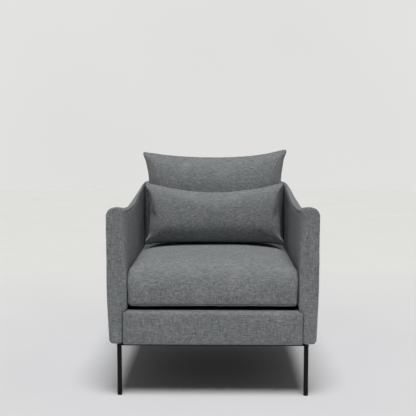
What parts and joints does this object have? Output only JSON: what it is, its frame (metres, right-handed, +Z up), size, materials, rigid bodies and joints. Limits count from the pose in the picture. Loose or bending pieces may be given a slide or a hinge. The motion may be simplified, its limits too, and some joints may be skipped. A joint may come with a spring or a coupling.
{
  "type": "upholstered armchair",
  "caption": "Low upholstered armchair on a slim black steel base, with a loose box seat cushion, a knife-edge back cushion and a lumbar pillow.",
  "frame": {"origin": "on the floor, under the middle of the chair's bounding box", "axes": "+Z up, -Y the way the chair faces, +X to the right of somebody who looks at its front"},
  "size_m": [0.72, 0.78, 0.8266],
  "materials": {
    "upholstery_fabric": "matte",
    "powder_coated_steel": "satin",
    "zinc_plated_steel": "satin",
    "spring_steel": "satin",
    "black_plastic": "matte",
    "hardwood": "matte",
    "plywood": "matte",
    "black_lining": "matte",
    "cushion_filling": "matte",
    "zip_tape": "matte",
    "zip_metal": "satin"
  },
  "bodies": {
    "frame": {"leg_front_left": "powder_coated_steel", "leg_rear_left": "powder_coated_steel", "leg_front_right": "powder_coated_steel", "leg_rear_right": "powder_coated_steel", "leg_glide_front_left": "black_plastic", "leg_glide_rear_left": "black_plastic", "leg_glide_front_right": "black_plastic", "leg_glide_rear_right": "black_plastic", "base_rail_front": "powder_coated_steel", "base_rail_rear": "powder_coated_steel", "base_rail_left": "powder_coated_steel", "base_rail_right": "powder_coated_steel", "mounting_plate_front_left": "powder_coated_steel", "mounting_plate_rear_left": "powder_coated_steel", "mounting_plate_front_right": "powder_coated_steel", "mounting_plate_rear_right": "powder_coated_steel", "plate_bolt_front_left": "zinc_plated_steel", "plate_bolt_rear_left": "zinc_plated_steel", "plate_bolt_front_right": "zinc_plated_steel", "plate_bolt_rear_right": "zinc_plated_steel", "seat_rail_front": "hardwood", "seat_rail_rear": "hardwood", "seat_rail_left": "hardwood", "seat_rail_right": "hardwood", "corner_block_front_left": "hardwood", "corner_block_rear_left": "hardwood", "corner_block_front_right": "hardwood", "corner_block_rear_right": "hardwood", "arm_panel_left": "plywood", "arm_panel_right": "plywood", "back_post_left": "hardwood", "back_post_right": "hardwood", "back_top_rail": "hardwood", "seat_spring_1": "spring_steel", "seat_spring_2": "spring_steel", "seat_spring_3": "spring_steel", "seat_spring_4": "spring_steel", "seat_spring_5": "spring_steel", "spring_clip_strip_front": "zinc_plated_steel", "spring_clip_strip_rear": "zinc_plated_steel", "deck_pad": "black_lining", "dust_cover": "black_lining", "front_apron": "upholstery_fabric", "arm_upholstery_left": "upholstery_fabric", "arm_upholstery_right": "upholstery_fabric", "back_outside_cover": "upholstery_fabric", "back_inside_pad": "upholstery_fabric"},
    "seat_cushion": {"seat_cushion_cover": "upholstery_fabric", "seat_cushion_zip": "zip_tape", "seat_cushion_foam": "cushion_filling"},
    "back_cushion": {"back_cushion_cover": "upholstery_fabric", "back_cushion_zip": "zip_tape", "back_cushion_filling": "cushion_filling"},
    "lumbar_pillow": {"lumbar_pillow_cover": "upholstery_fabric", "lumbar_pillow_zip": "zip_tape", "lumbar_pillow_filling": "cushion_filling"},
    "seat_zip_slider": {"seat_cushion_slider": "zip_metal"},
    "back_zip_slider": {"back_cushion_slider": "zip_metal"},
    "lumbar_zip_slider": {"lumbar_pillow_slider": "zip_metal"}
  },
  "joints": [
    {"name": "seat_cushion_lift", "type": "slide", "parent": "frame", "child": "seat_cushion", "axis": [0, 0, 1], "range_m": [0, 0.4]},
    {"name": "back_cushion_lift", "type": "slide", "parent": "seat_cushion", "child": "back_cushion", "axis": [0, 0, 1], "range_m": [0, 0.4]},
    {"name": "lumbar_pillow_lift", "type": "slide", "parent": "back_cushion", "child": "lumbar_pillow", "axis": [0, -0.5, 0.866], "range_m": [0, 0.35]},
    {"name": "seat_zip_slide", "type": "slide", "parent": "seat_cushion", "child": "seat_zip_slider", "axis": [1, 0, 0], "range_m": [0, 0.43]},
    {"name": "back_zip_slide", "type": "slide", "parent": "back_cushion", "child": "back_zip_slider", "axis": [1, 0, 0], "range_m": [0, 0.31]},
    {"name": "lumbar_zip_slide", "type": "slide", "parent": "lumbar_pillow", "child": "lumbar_zip_slider", "axis": [1, 0, 0], "range_m": [0, 0.31]}
  ]
}
